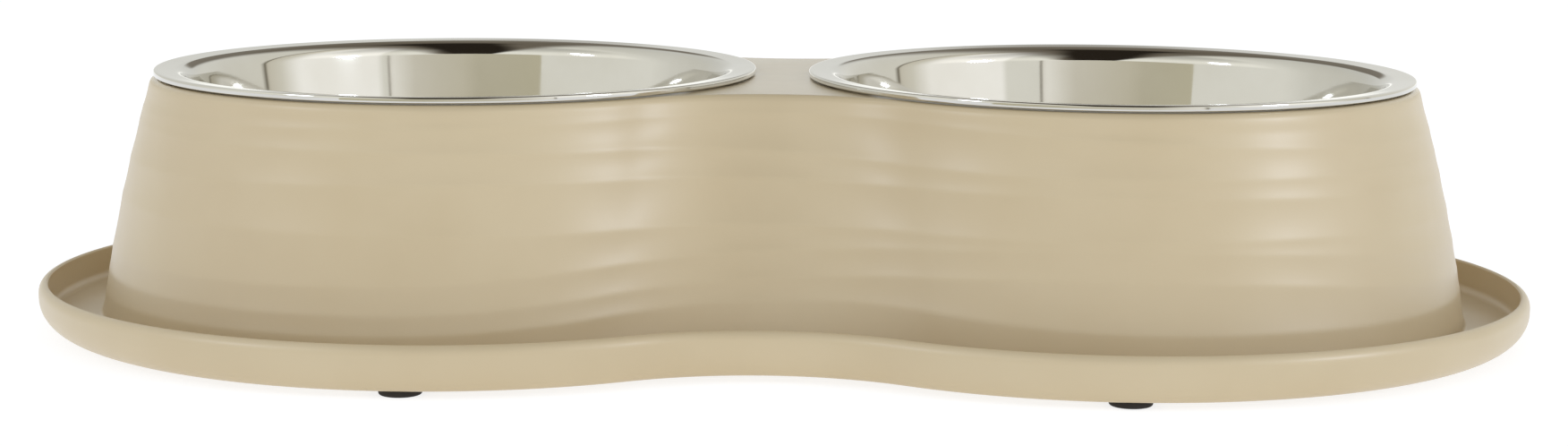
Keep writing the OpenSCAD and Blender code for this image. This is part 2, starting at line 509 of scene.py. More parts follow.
@dataclass(frozen=True)
class TurnedLines:
    """Fine lines that wander round the wall, with a shallow hollow between each two of them.

    Each row of heights belongs to one line and gives its height above the floor, in millimetres, at even
    stations along the front from the left end to the right end. The back mirrors the front, so that a line
    closes on itself. Each row of blur is a multiple of the softness, up or down, and the weight of the push
    there.
    """

    heights: tuple[tuple[float, ...], ...] = (
        (66.8, 66.8, 66.8, 66.8, 66.8, 66.8, 66.8, 66.8, 66.8),
        (58.6, 59.6, 61.0, 62.1, 62.7, 61.8, 59.4, 57.2, 56.2),
        (56.0, 55.7, 55.4, 55.0, 53.4, 51.4, 51.2, 50.8, 50.6),
        (46.0, 46.4, 47.5, 47.8, 46.8, 46.5, 46.8, 45.4, 44.6),
        (36.2, 35.9, 35.7, 35.6, 35.7, 35.8, 36.6, 36.2, 35.8),
        (22.0, 22.4, 23.6, 26.6, 29.5, 32.6, 34.1, 30.4, 27.4),
        (16.2, 16.5, 16.8, 19.6, 22.9, 25.9, 27.2, 22.6, 19.4),
        (10.4, 10.8, 11.8, 14.5, 17.7, 16.9, 14.9, 14.4, 14.2),
        (5.8, 5.8, 5.8, 5.8, 5.8, 5.8, 5.8, 5.8, 5.8),
    )
    sag_share: float = 0.042
    sag_limit: float = 0.00042
    end_share: float = 0.4
    softness: float = 0.0005
    blur: tuple[Spot, ...] = ((-1.6, 0.1), (-0.8, 0.23), (0.0, 0.34), (0.8, 0.23), (1.6, 0.1))

    def crests(self, share: np.ndarray) -> np.ndarray:
        """Height of each line at each place: a smooth curve through the stations, found as a sum of cosines.

        Args:
            share: Place along the outline, 0 to 1, from the right end over the back and the left end.

        Returns:
            Heights in metres, by line and place.
        """
        rows = np.array(self.heights) / 1000
        last = rows.shape[1] - 1
        station = np.arange(last + 1)
        order = station[:, None]
        ends = np.where((station == 0) | (station == last), 0.5, 1.0)
        wave = 2 / last * (np.cos(np.pi * order * station / last) * ends) @ rows.T
        wave[0] /= 2
        wave[last] /= 2
        front = 1 - np.abs(2 * share - 1)
        return (np.cos(np.pi * order * (1 - front)).T @ wave).T

    def push(self, share: np.ndarray, height: np.ndarray) -> np.ndarray:
        """How far the lines shape the wall: inwards by the hollow's sag times 4 t (1 - t) between two lines.

        Sharp lines are softened by the mean of the push over a short height, and the hollows are shallower at
        the stand's two ends.

        Args:
            share: Place along the outline, one for each column.
            height: Height above the floor, one for each row.

        Returns:
            An array of one push for each row and column.
        """
        lines = self.crests(share)
        total = np.zeros((len(height), len(share)))
        for offset, weight in self.blur:
            level = height[:, None] + offset * self.softness
            for high, low in zip(lines[:-1], lines[1:]):
                t = np.clip((level - low) / (high - low), 0, 1)
                sag = np.minimum(self.sag_share * (high - low), self.sag_limit)
                total -= weight * sag * 4 * t * (1 - t)
        return total * (self.end_share + (1 - self.end_share) * np.abs(np.sin(2 * np.pi * share)))


@dataclass(frozen=True)
class StandMoulding:
    """The stand: figure-eight wall with its deck, holes, spill gutter, lip and foot sockets, as one moulding.

    A guard is the width of a narrow flat strip beside a round, which keeps the round's shading crisp.
    """

    half_pitch: float = 0.0871
    top_radius: float = 0.0805
    base_radius: float = 0.0911
    base_stretch: float = 0.0035
    waist_top: float = 0.0479
    waist_base: float = 0.0676
    belly: float = 0.0012
    deck_height: float = 0.0668
    deck_thickness: float = 0.0030
    deck_edge: float = 0.0016
    wall_thickness: float = 0.0028
    hole_radius: float = 0.073515
    hole_edge: float = 0.0006

    gutter_end: float = 0.0141
    gutter_side: float = 0.0134
    gutter_waist: float = 0.0127
    lip_height: float = 0.0113
    lip_thickness: float = 0.0025
    lip_band: float = 0.0012
    lip_tuck: float = 0.0030
    lip_tuck_end: float = 0.0080
    lip_round: float = 0.0026
    lip_inner_edge: float = 0.0005
    lip_cove: float = 0.0022
    gutter_thickness: float = 0.0029
    cove: float = 0.0010

    foot_proud: float = 0.0018
    socket_depth: float = 0.0012
    socket_radius: float = 0.0054

    lines: TurnedLines = TurnedLines()
    foot_ease: float = 0.002
    deck_ease: float = 0.004

    waist_steps: int = 20
    shoulder_steps: int = 26
    end_steps: int = 54
    wall_rows: int = 120
    edge_rows: int = 8
    inner_wall_rows: int = 13
    inner_foot_rows: int = 3
    hole_steps: int = 4
    seam_steps: int = 40
    socket_steps: int = 48
    spoke_shares: tuple[float, ...] = (0.0, 0.06, 0.3, 0.65, 0.93, 1.0)
    guard: float = 0.0006
    inner_guard: float = 0.00015
    crease: float = 40

    @property
    def quarter(self) -> int:
        """Number of steps on a quarter of the outline."""
        return self.waist_steps + self.shoulder_steps + self.end_steps

    @property
    def around(self) -> int:
        """Number of points on the whole outline."""
        return 4 * self.quarter

    @property
    def shares(self) -> np.ndarray:
        """Place of each outline point, as a share of the way round."""
        return np.arange(self.around) / self.around

    @property
    def gutter_floor(self) -> float:
        """Height of the gutter's floor."""
        return self.foot_proud + self.gutter_thickness

    @property
    def wall_foot(self) -> float:
        """Height at which the wall's cove starts."""
        return self.gutter_floor + self.cove

    @property
    def inner_top(self) -> float:
        """Height of the deck's underside."""
        return self.deck_height - self.deck_thickness

    def ring(self, radius: np.ndarray, waist: np.ndarray, stretch: np.ndarray, height: np.ndarray,
             push: np.ndarray | float = 0.0) -> np.ndarray:
        """Rings of the figure-eight plan, one for each row of sizes.

        A hollow arc of radius (c*c + w*w - r*r) / (2 (r - w)) joins the two lobes at the waist, and touches
        both; c is the distance from the middle to a bowl's axis. A quarter runs along that arc from the
        middle, then round the inner part of the lobe, then round its outer half, which is an ellipse where it
        is stretched.

        Args:
            radius: Radius r of a lobe.
            waist: Half depth w at the waist.
            stretch: How much longer than round the outer half of a lobe is.
            height: Height above the floor.
            push: Distance by which a point is pushed out along the outline's normal, per row and point.

        Returns:
            Points by row and place along the outline.
        """
        radius, waist, stretch, height = (np.atleast_1d(np.asarray(v, float))[:, None]
                                          for v in np.broadcast_arrays(radius, waist, stretch, height))
        centre = self.half_pitch
        hollow = (centre ** 2 + waist ** 2 - radius ** 2) / (2 * (radius - waist))
        turn = np.arctan2(centre, waist + hollow)
        k = np.arange(self.around)
        part, along = k // self.quarter, k % self.quarter
        i = np.where(part % 2 == 0, self.quarter - along, along)
        on_arc = turn * np.minimum(i, self.waist_steps) / self.waist_steps
        past = i - self.waist_steps - self.shoulder_steps
        inner_turn = turn * past / self.shoulder_steps
        outer_turn = np.pi / 2 * past / self.end_steps
        on_lobe = np.pi / 2 - np.where(past <= 0, inner_turn, outer_turn)
        at_waist = i <= self.waist_steps
        reach = radius + push + stretch * (past > 0)
        arc_y = waist + hollow - (hollow - push) * np.cos(on_arc)
        x = np.where(at_waist, (hollow - push) * np.sin(on_arc), centre + reach * np.cos(on_lobe))
        y = np.where(at_waist, arc_y, (radius + push) * np.sin(on_lobe))
        x = np.where((part == 0) | (part == 3), x, -x)
        y = np.where(part < 2, y, -y)
        return np.stack([x, y, np.broadcast_to(height, x.shape)], axis=-1)

    def down(self, height: np.ndarray) -> np.ndarray:
        """Share of the way down the wall, 0 at the deck and 1 at its foot.

        Args:
            height: Heights above the floor.

        Returns:
            One share for each height.
        """
        return (self.deck_height - height) / (self.deck_height - self.wall_foot)

    def wall_ring(self, height: np.ndarray, inset: np.ndarray | float = 0.0,
                  push: np.ndarray | float = 0.0) -> np.ndarray:
        """Rings that lie in from the wall's own outline, which widens downwards with a soft belly half way.

        Args:
            height: Heights of the rings.
            inset: How far in each one lies.
            push: Ripples, per ring and point.

        Returns:
            Points by row and place along the outline.
        """
        height = np.asarray(height, float)
        down = self.down(height)
        belly = self.belly * 4 * down * (1 - down)
        return self.ring(self.top_radius + (self.base_radius - self.top_radius) * down + belly - inset,
                         self.waist_top + (self.waist_base - self.waist_top) * down + belly - inset,
                         self.base_stretch * down, height, push)

    def lip_ring(self, height: np.ndarray, inset: np.ndarray | float,
                 tuck: np.ndarray | float = 0.0) -> np.ndarray:
        """Rings that lie in from the lip's outer outline.

        Args:
            height: Heights of the rings.
            inset: How far in each one lies.
            tuck: Share of the curve by which the lip's outer side draws in below, more so at the two ends.

        Returns:
            Points by row and place along the outline.
        """
        inwards = inset + tuck * self.lip_tuck
        end_inwards = tuck * (self.lip_tuck_end - self.lip_tuck)
        return self.ring(self.base_radius + self.gutter_side + self.lip_thickness - inwards,
                         self.waist_base + self.gutter_waist + self.lip_thickness - inwards,
                         self.base_stretch + self.gutter_end - self.gutter_side - end_inwards, height)

    def foot_ring(self, height: np.ndarray, outset: np.ndarray) -> np.ndarray:
        """Rings that lie out from the foot of the wall.

        Args:
            height: Heights of the rings.
            outset: How far out each one lies.

        Returns:
            Points by row and place along the outline.
        """
        return self.ring(self.base_radius + outset, self.waist_base + outset, self.base_stretch, height)

    def line_push(self, height: np.ndarray) -> np.ndarray:
        """The turned lines' push, eased to nothing at the deck's edge and at the cove.

        Args:
            height: Heights of the wall's rings.

        Returns:
            An array of one push for each ring and outline point.
        """
        total = self.lines.push(self.shares, height)
        above_foot = np.clip((height - self.wall_foot) / self.foot_ease, 0, 1)
        below_deck = np.clip((self.deck_height - self.deck_edge - height) / self.deck_ease, 0, 1)
        ease = above_foot * below_deck
        return total * (ease * ease * (3 - 2 * ease))[:, None]

    def outer_rows(self) -> np.ndarray:
        """The outer skin: up the lip, over its round top, through the gutter, up the wall and round the deck.

        Returns:
            Points by row and place along the outline.
        """
        quarter_turn = np.radians(np.linspace(0, 90, self.edge_rows + 1))
        tuck_turn = np.radians(np.linspace(0, 90, 2 * self.edge_rows + 1))
        lip_top = self.foot_proud + self.lip_height
        rise, reach = 1 - np.cos(quarter_turn), 1 - np.sin(quarter_turn)
        in_lip = self.lip_thickness + self.lip_cove
        curve = self.lip_height - self.lip_round - self.lip_band
        wall = np.linspace(self.wall_foot, self.deck_height - self.deck_edge, self.wall_rows + 1)
        push = self.line_push(wall)
        wide, narrow = self.guard, self.guard / 4
        return np.concatenate([
            self.lip_ring(np.full(2, self.foot_proud), np.array([wide / 2, wide / 8]), 1.0),
            self.lip_ring(self.foot_proud + curve * (1 - np.cos(tuck_turn)), 0.0, 1 - np.sin(tuck_turn)),
            self.lip_ring(lip_top - self.lip_round * reach,
                          (self.lip_thickness - self.lip_inner_edge) * rise),
            self.lip_ring(lip_top - self.lip_inner_edge * rise[1:],
                          self.lip_thickness - self.lip_inner_edge * reach[1:]),
            self.lip_ring(self.gutter_floor + self.lip_cove * reach,
                          self.lip_thickness + self.lip_cove * rise),
            self.lip_ring(np.full(2, self.gutter_floor), in_lip + np.array([narrow, wide])),
            self.foot_ring(np.full(2, self.gutter_floor), self.cove + np.array([wide, narrow])),
            self.foot_ring(self.gutter_floor + self.cove * rise[:-1], self.cove * reach[:-1]),
            self.wall_ring(wall, 0.0, push),
            self.wall_ring(self.deck_height - self.deck_edge * reach[1:], self.deck_edge * rise[1:]),
            self.wall_ring(np.full(1, self.deck_height), self.deck_edge + narrow),
        ])

    def inner_rows(self) -> np.ndarray:
        """The inner skin: from the deck's underside round the corner and down to the open bottom.

        Returns:
            Points by row and place along the outline.
        """
        turn = np.radians(np.linspace(0, 90, self.edge_rows + 1))
        inner_side = self.wall_thickness
        wall = np.linspace(self.inner_top - self.deck_edge, self.wall_foot, self.inner_wall_rows + 1)[1:]
        low = np.linspace(self.wall_foot, self.foot_proud + self.inner_guard, self.inner_foot_rows + 1)[1:]
        return np.concatenate([
            self.wall_ring(np.full(1, self.inner_top), inner_side + self.deck_edge + self.inner_guard),
            self.wall_ring(self.inner_top - self.deck_edge * (1 - np.cos(turn)),
                           inner_side + self.deck_edge * (1 - np.sin(turn))),
            self.wall_ring(wall, inner_side),
            self.foot_ring(low, -inner_side),
            self.foot_ring(np.full(1, self.foot_proud), -inner_side + self.inner_guard),
        ])

    def half_loop(self, ring: np.ndarray) -> np.ndarray:
        """The right half of a ring, closed along the middle line of the stand.

        Args:
            ring: One ring of the outline.

        Returns:
            Points from the front of the middle line round the lobe to its back, and along it to the front.
        """
        lobe = np.roll(ring, self.quarter, axis=0)[:2 * self.quarter + 1]
        seam = np.linspace(lobe[-1], lobe[0], self.seam_steps + 1)[1:-1]
        return np.concatenate([lobe, seam])

    def flat_patch(self, ring: np.ndarray, radius: float) -> Patch:
        """The right half of the deck between its outline and the hole: straight spokes to the hole's centre.

        Args:
            ring: Outline of the flat, one ring.
            radius: Radius of the hole's edge.

        Returns:
            Points by row, from the outline to the hole, and the quads.
        """
        loop = self.half_loop(ring)
        middle = np.array([self.half_pitch, 0.0, 0.0])
        spoke = (loop - middle)[:, :2]
        length = np.hypot(spoke[:, 0], spoke[:, 1])
        unit = spoke / length[:, None]
        share = np.array(self.spoke_shares)[:, None]
        reach = length * (1 - share) + radius * share
        points = np.stack([middle[0] + unit[:, 0] * reach, unit[:, 1] * reach,
                           np.broadcast_to(loop[:, 2], reach.shape)], axis=-1)
        return points, grid_faces(len(share), len(loop), closed=True)

    def hole_wall(self, top: np.ndarray, bottom: np.ndarray) -> np.ndarray:
        """The hole's edge: a small round at the top, a straight wall, and a small round below.

        Args:
            top: Points of the top flat along the hole.
            bottom: Points of the lower flat along the hole, at the same angles.

        Returns:
            Points by row, from the top to the bottom.
        """
        turn = np.radians(np.linspace(0, 90, self.hole_steps + 1))
        rise, reach = 1 - np.cos(turn), 1 - np.sin(turn)
        unit = (top[:, :2] - np.array([self.half_pitch, 0.0])) / (self.hole_radius + self.hole_edge)
        radius = self.hole_radius + self.hole_edge * np.concatenate([reach, rise])
        height = np.concatenate([top[0, 2] - self.hole_edge * rise, bottom[0, 2] + self.hole_edge * reach])
        return np.stack([self.half_pitch + radius[:, None] * unit[:, 0], radius[:, None] * unit[:, 1],
                         np.broadcast_to(height[:, None], (len(height), len(unit)))], axis=-1)

    def bottom_patch(self, outer: np.ndarray, inner: np.ndarray, sockets: list[np.ndarray]) -> Patch:
        """The flat underside between the lip's edge and the open bottom, with a round hole for each socket.

        Args:
            outer: Ring along the lip.
            inner: Ring along the open bottom.
            sockets: A ring for each socket.

        Returns:
            The points and the triangles of a flat fill between those rings.
        """
        rings = [outer, inner, *sockets]
        points = [Vector(p) for ring in rings for p in ring[:, :2].tolist()]
        edges, first = [], 0
        for ring in rings:
            number = first + np.arange(len(ring))
            edges.append(np.column_stack([number, np.roll(number, -1)]))
            first += len(ring)
        edges = np.concatenate(edges).tolist()
        made = delaunay_2d_cdt(points, edges, [], FILL_INSIDE_ONLY, FILL_TOLERANCE)
        flat = np.array([[p.x, p.y, self.foot_proud] for p in made[0]])
        faces = np.array(made[2])
        middle = flat[faces, :2].mean(axis=1)
        open_there = np.any([self.encloses(ring, middle) for ring in [inner, *sockets]], axis=0)
        return flat, faces[~open_there]

    @staticmethod
    def encloses(ring: np.ndarray, points: np.ndarray) -> np.ndarray:
        """Tells which points lie in a ring: a line from each along +X crosses it an odd number of times.

        Args:
            ring: Points of the ring.
            points: X and Y of the points.

        Returns:
            One truth value for each point.
        """
        start, end = ring[:, :2], np.roll(ring[:, :2], -1, axis=0)
        x, y = points[:, :1], points[:, 1:]
        spans = (start[:, 1] > y) != (end[:, 1] > y)
        rise = np.where(spans, end[:, 1] - start[:, 1], 1.0)
        crossing = start[:, 0] + (y - start[:, 1]) * (end[:, 0] - start[:, 0]) / rise
        return (spans & (crossing > x)).sum(axis=1) % 2 == 1

    def socket_rows(self, middle: Spot) -> Patch:
        """A shallow round socket: its wall and its flat end.

        Args:
            middle: Where its axis stands.

        Returns:
            The points and the quads, from the rim to the middle of the end.
        """
        radius, top = self.socket_radius, self.foot_proud + self.socket_depth
        profile = np.array([[radius, self.foot_proud], [radius, top], [radius / 2, top], [0.0, top]])
        return revolve(profile, middle, self.socket_steps)

    def build(self, name: str, feet: list[Spot]) -> bpy.types.Object:
        """Builds the moulding from its patches.

        Args:
            name: Name of the piece.
            feet: Where the feet stand.

        Returns:
            The piece.
        """
        skin = Skin()
        outer, inner = self.outer_rows(), self.inner_rows()
        for rows in (outer, inner):
            skin.add(rows, grid_faces(len(rows), self.around, closed=True))
        flip = np.array([-1.0, 1.0, 1.0])
        edge = self.hole_radius + self.hole_edge
        top, faces = self.flat_patch(outer[-1], edge)
        under, _ = self.flat_patch(inner[0], edge)
        hole = self.hole_wall(top[-1], under[-1])
        hole_faces = grid_faces(len(hole), hole.shape[1], closed=True)
        for patch, quads in ((top, faces), (under, faces), (hole, hole_faces)):
            skin.add(patch, quads)
            skin.add(patch * flip, quads)
        rims = []
        for foot in feet:
            points, quads = self.socket_rows(foot)
            skin.add(points, quads)
            rims.append(points[:self.socket_steps])
        skin.add(*self.bottom_patch(outer[0], inner[-1], rims))
        return skin.sew(name, self.crease)


@dataclass(frozen=True)
class SteelBowl:
    """A pressed bowl: rolled rim, flange that falls to the middle, bend, leaning wall and round corner."""

    rim_radius: float = 0.080
    rim_top: float = 0.0687
    depth: float = 0.047
    sheet: float = 0.0008
    roll_radius: float = 0.00085
    roll_squareness: float = 0.6
    roll_under: float = 0.84
    roll_start: float = -190
    flange_width: float = 0.0044
    flange_fall: float = 4.0
    bend_radius: float = 0.0045
    lean: float = 9.0
    corner_radius: float = 0.014

    around: int = 256
    roll_steps: int = 71
    flange_steps: int = 5
    bend_steps: int = 26
    wall_steps: int = 17
    floor_steps: int = 9
    crease: float = 50

    def side(self, offset: float) -> np.ndarray:
        """One side of the sheet: an arc round the bend, a straight wall, an arc round the corner, the floor.

        Args:
            offset: 0 on the inside of the bowl, and the sheet's thickness on the outside.

        Returns:
            Radius and height of each point, from the flange to the middle of the floor.
        """
        fall, lean = np.radians(self.flange_fall), np.radians(self.lean)
        roll = self.roll_middle()
        level = np.array([np.cos(fall), np.sin(fall)])
        upwards = np.array([-np.sin(fall), np.cos(fall)])
        bend = roll + (self.roll_radius - self.bend_radius) * upwards - self.flange_width * level
        wall_top = bend + self.bend_radius * np.array([-np.cos(lean), np.sin(lean)])
        corner_z = self.rim_top - self.depth + self.corner_radius
        wall_drop = (corner_z - wall_top[1]) * np.sin(lean)
        corner_x = wall_top[0] - (self.corner_radius - wall_drop) / np.cos(lean)
        flange_start = roll + (self.roll_radius - offset) * upwards
        steps = self.bend_steps
        bend_arc = arc(bend, self.bend_radius - offset, 90 + self.flange_fall, 180 - self.lean, steps)
        corner_arc = arc((corner_x, corner_z), self.corner_radius + offset, -self.lean, -90, steps)
        flange = np.linspace(flange_start, bend_arc[0], self.flange_steps + 1)[1:-1]
        wall = np.linspace(bend_arc[-1], corner_arc[0], self.wall_steps + 1)[1:-1]
        floor = np.linspace(corner_arc[-1], [0.0, corner_arc[-1][1]], self.floor_steps + 1)[1:]
        return np.concatenate([flange, bend_arc, wall, corner_arc, floor])

    def roll_middle(self) -> np.ndarray:
        """Centre of the roll along the rim, as radius and height."""
        return np.array([self.rim_radius - self.roll_radius, self.rim_top - self.roll_radius])

    def profile(self) -> np.ndarray:
        """The whole section: round the roll, along the inside to the middle, and back along the outside.

        The roll is pressed a little square: the cosine and sine of each angle are raised to a power below 1,
        and its lower half is a little flatter than its upper half.

        Returns:
            Radius and height of each point.
        """
        turn = np.radians(np.linspace(self.roll_start, 90 + self.flange_fall, self.roll_steps + 1))
        way = np.column_stack([np.cos(turn), np.sin(turn)])
        way = np.sign(way) * np.abs(way) ** self.roll_squareness
        way[:, 1] *= np.where(way[:, 1] < 0, self.roll_under, 1.0)
        roll = self.roll_middle() + self.roll_radius * way
        return np.concatenate([roll, self.side(0.0), self.side(self.sheet)[::-1]])

    def build(self, name: str, middle: Spot) -> bpy.types.Object:
        """Builds the bowl.

        Args:
            name: Name of the piece.
            middle: Where its axis stands.

        Returns:
            The piece.
        """
        profile = self.profile()
        points, quads = revolve(profile, middle, self.around)
        last = len(profile) - 1
        turn = np.arange(self.around)
        ring = np.column_stack([last * self.around + turn, last * self.around + (turn + 1) % self.around,
                                (turn + 1) % self.around, turn])
        skin = Skin()
        skin.add(points, np.concatenate([quads, ring]))
        return skin.sew(name, self.crease)


@dataclass(frozen=True)
class RubberFoot:
    """A small round foot with a softened lower edge and a shallow ring pressed into its underside."""

    radius: float = 0.00525
    height: float = 0.0030
    edge: float = 0.0006
    x: float = 0.0865
    y: float = 0.0982482
    ring_radius: float = 0.0030
    ring_slope: float = 0.0002
    ring_depth: float = 0.00025

    around: int = 64
    edge_steps: int = 8
    top_steps: int = 5
    crease: float = 50

    def place(self, side: Side, row: Row) -> Spot:
        """Where a foot stands.

        Args:
            side: End of the stand.
            row: Long side of the stand.

        Returns:
            X and Y of its axis.
        """
        return side.value * self.x, row.value * self.y

    def build(self, name: str, middle: Spot) -> bpy.types.Object:
        """Builds a foot by carrying its profile round its axis.

        Args:
            name: Name of the piece.
            middle: Where its axis stands.

        Returns:
            The piece.
        """
        dish = np.array([[0.0, self.ring_depth], [self.ring_radius - self.ring_slope, self.ring_depth],
                         [self.ring_radius, 0.0]])
        edge = arc((self.radius - self.edge, self.edge), self.edge, -90, 0, self.edge_steps)
        top_edge = self.edge / 2
        top = arc((self.radius - top_edge, self.height - top_edge), top_edge, 0, 90, self.top_steps)
        profile = np.concatenate([dish, edge, top, [[0.0, self.height]]])
        skin = Skin()
        skin.add(*revolve(profile, middle, self.around))
        return skin.sew(name, self.crease)


@dataclass(frozen=True)
class Viewpoint:
    """The camera, fitted to the photograph from the rims, the lip's outline and the silhouettes.

    The lens and the sensor's width are in millimetres.
    """

    turn: float = 2.195
    rise: float = 8.895
    roll: float = 0.404
    distance: float = 0.76045
    lens: float = 64.783
    sensor: float = 36.0
    nearest: float = 0.05
    furthest: float = 50.0
    target: Place = (0.000727, 0.0, 0.02686)

    def build(self) -> bpy.types.Object:
        """Makes the scene's camera.

        Returns:
            The camera.
        """
        turn, rise, roll = (float(np.radians(v)) for v in (self.turn, self.rise, self.roll))
        back = Vector((np.sin(turn) * np.cos(rise), -np.cos(turn) * np.cos(rise), np.sin(rise)))
        right = Vector((np.cos(turn), np.sin(turn), 0.0))
        up = back.cross(right)
        across = np.cos(roll) * right + np.sin(roll) * up
        upright = -np.sin(roll) * right + np.cos(roll) * up
        data = bpy.data.cameras.new("camera")
        data.sensor_fit = "HORIZONTAL"
        data.sensor_width = self.sensor
        data.lens = self.lens
        data.clip_start = self.nearest
        data.clip_end = self.furthest
        camera = bpy.data.objects.new("camera", data)
        turned = Matrix((across, upright, back)).transposed().to_4x4()
        camera.matrix_world = Matrix.Translation(Vector(self.target) + self.distance * back) @ turned
        bpy.context.scene.collection.objects.link(camera)
        bpy.context.scene.camera = camera
        return camera


@dataclass(frozen=True)
class Lamp:
    """A soft square lamp that points at the stand, with its power in watts; gloss mirrors it if it shows."""

    name: str
    power: float
    size: float
    place: Place
    shows: bool
    tint: tuple[float, float, float] = (0.90, 1.0, 1.18)
    aim: Place = (0.0, 0.0, 0.03)

    def build(self) -> None:
        """Makes the lamp."""
        data = bpy.data.lights.new(self.name, "AREA")
        data.shape = "SQUARE"
        data.size = self.size
        data.energy = self.power
        data.color = self.tint
        lamp = bpy.data.objects.new(self.name, data)
        lamp.location = self.place
        lamp.rotation_euler = (Vector(self.place) - Vector(self.aim)).to_track_quat("Z", "Y").to_euler()
        lamp.visible_glossy = self.shows
        bpy.context.scene.collection.objects.link(lamp)


@dataclass(frozen=True)
class Sky:
    """The world: white for the camera, a pale sky for light, and a room of soft panels that gloss mirrors.

    A panel's colour depends on the compass angle of a direction, and its strength rises above the horizon in
    front and low behind. A grey ceiling with a dark core runs from the front over the zenith to the back. It
    is a strip in x/z and y/z, the place where a direction meets a ceiling: across the stand, and along the
    view.
    """

    low: Colour = (0.86, 0.85, 0.84, 1.0)
    side: Colour = (0.76, 0.83, 0.96, 1.0)
    high: Colour = (0.58, 0.61, 0.66, 1.0)
    white: Colour = (1.0, 1.0, 1.0, 1.0)
    to_side: Fade = Fade(0.35, 0.85, eased=True)
    to_high: Fade = Fade(0.4, 0.9, eased=True)

    panels: Stops = (
        (-180.0, (217, 216, 209)), (-46.0, (217, 216, 209)), (-44.0, (243, 242, 239)),
        (-5.0, (243, 242, 239)), (6.0, (206, 203, 192)), (14.0, (196, 191, 178)),
        (15.0, (104, 98, 84)), (16.2, (104, 98, 84)), (17.4, (208, 206, 197)),
        (70.0, (206, 205, 199)), (84.0, (196, 196, 192)), (110.0, (192, 192, 187)),
        (135.0, (198, 197, 190)), (165.0, (206, 205, 198)), (180.0, (217, 216, 209)),
    )
    compass: Fade = Fade(-180.0, 180.0)
    level: float = 1.06
    ahead: Fade = Fade(-0.25, 0.0, 1.0, 0.0, eased=True)
    ahead_rise: Fade = Fade(0.20, 0.36, 1.06, 1.25, eased=True)
    ahead_fall: Fade = Fade(0.45, 0.85, 1.0, 0.60, eased=True)
    behind: Fade = Fade(0.5, 0.85, eased=True)
    behind_glow: Fade = Fade(0.025, 0.06, 0.5, 0.0, eased=True)

    ceiling: Colour = srgb(124, 116, 104)
    core: Colour = srgb(46, 40, 33)
    lowest: float = 0.02
    left_edge: Fade = Fade(-0.48, -0.30, eased=True)
    left_shift: Fade = Fade(0.8, 2.0, 0.0, 0.2)
    right_edge: Fade = Fade(0.22, 0.65, 1.0, 0.0, eased=True)
    right_shift: Fade = Fade(-2.2, -0.8, 0.45, 0.0)
    front_edge: Fade = Fade(-3.4, -2.8, eased=True)
    rear_haze: Fade = Fade(0.8, 1.6, 1.0, 0.92, eased=True)
    rear_edge: Fade = Fade(3.6, 5.2, 1.0, 0.0, eased=True)
    core_edge: Fade = Fade(0.12, 0.24, 1.0, 0.0, eased=True)
    core_end: Fade = Fade(0.25, 0.6, 1.0, 0.0, eased=True)
    core_widening: Fade = Fade(-3.0, 0.0, 4.0, 1.0)

    def build(self) -> None:
        """Makes the world."""
        world = bpy.data.worlds.new("studio")
        world.use_nodes = True
        bpy.context.scene.world = world
        t = NodeTree(world.node_tree)
        parts = t.node("SeparateXYZ", {"Vector": t.node("TexCoord").outputs["Generated"]})
        x, y, z = (parts.outputs[axis] for axis in "XYZ")
        share, ceiling = self.build_ceiling(t, x, y, z)
        mirrored = t.blend(share, self.build_panels(t, x, y, z), ceiling)
        path = t.node("LightPath")
        seen = t.blend(path.outputs["Is Camera Ray"], self.build_light(t, x, z), self.white)
        sky = t.node("Background", {"Color": t.blend(t.mirrored(path), seen, mirrored), "Strength": 1.0})
        t.node("OutputWorld", {"Surface": sky.outputs["Background"]})

    def build_panels(self, t: NodeTree, x: Socket, y: Socket, z: Socket) -> Socket:
        """The panels' colour times their strength: the level, plus the rise in front and the glow behind.

        Args:
            t: The world's nodes.
            x: X of the direction.
            y: Y of the direction.
            z: Z of the direction.

        Returns:
            The colour socket.
        """
        panels = t.ramp(t.math("DEGREES", t.math("ARCTAN2", y, x)), self.compass, self.panels)
        rise = t.math("MULTIPLY", t.fade(z, self.ahead_rise), t.fade(z, self.ahead_fall))
        in_front = t.math("MULTIPLY", t.math("SUBTRACT", rise, self.level), t.fade(y, self.ahead))
        glow = t.math("MULTIPLY", t.fade(y, self.behind), t.fade(z, self.behind_glow))
        strength = t.math("ADD", t.math("ADD", in_front, self.level), glow)
        gain = t.math("MULTIPLY", strength, MIRROR_GAIN)
        return t.node("VectorMath", {0: panels, "Scale": gain}, operation="SCALE").outputs["Vector"]

    def build_ceiling(self, t: NodeTree, x: Socket, y: Socket, z: Socket) -> tuple[Socket, Socket]:
        """The ceiling: how much of it a direction meets, the product of a fade for each edge, and its colour.

        Args:
            t: The world's nodes.
            x: X of the direction.
            y: Y of the direction.
            z: Z of the direction.

        Returns:
            The share and the colour.
        """
        up = t.math("MAXIMUM", z, self.lowest)
        across, along = t.math("DIVIDE", x, up), t.math("DIVIDE", y, up)
        left = t.fade(t.math("ADD", across, t.fade(along, self.left_shift)), self.left_edge)
        right = t.fade(t.math("SUBTRACT", across, t.fade(along, self.right_shift)), self.right_edge)
        rear = t.math("MULTIPLY", t.fade(along, self.rear_haze), t.fade(along, self.rear_edge))
        ends = t.math("MULTIPLY", t.fade(along, self.front_edge), rear)
        share = t.math("MULTIPLY", t.math("MULTIPLY", left, right), ends)
        off_middle = t.math("DIVIDE", t.math("ABSOLUTE", across), t.fade(along, self.core_widening))
        core = t.math("MULTIPLY", t.fade(along, self.core_end), t.fade(off_middle, self.core_edge))
        return share, t.blend(core, self.ceiling, self.core)

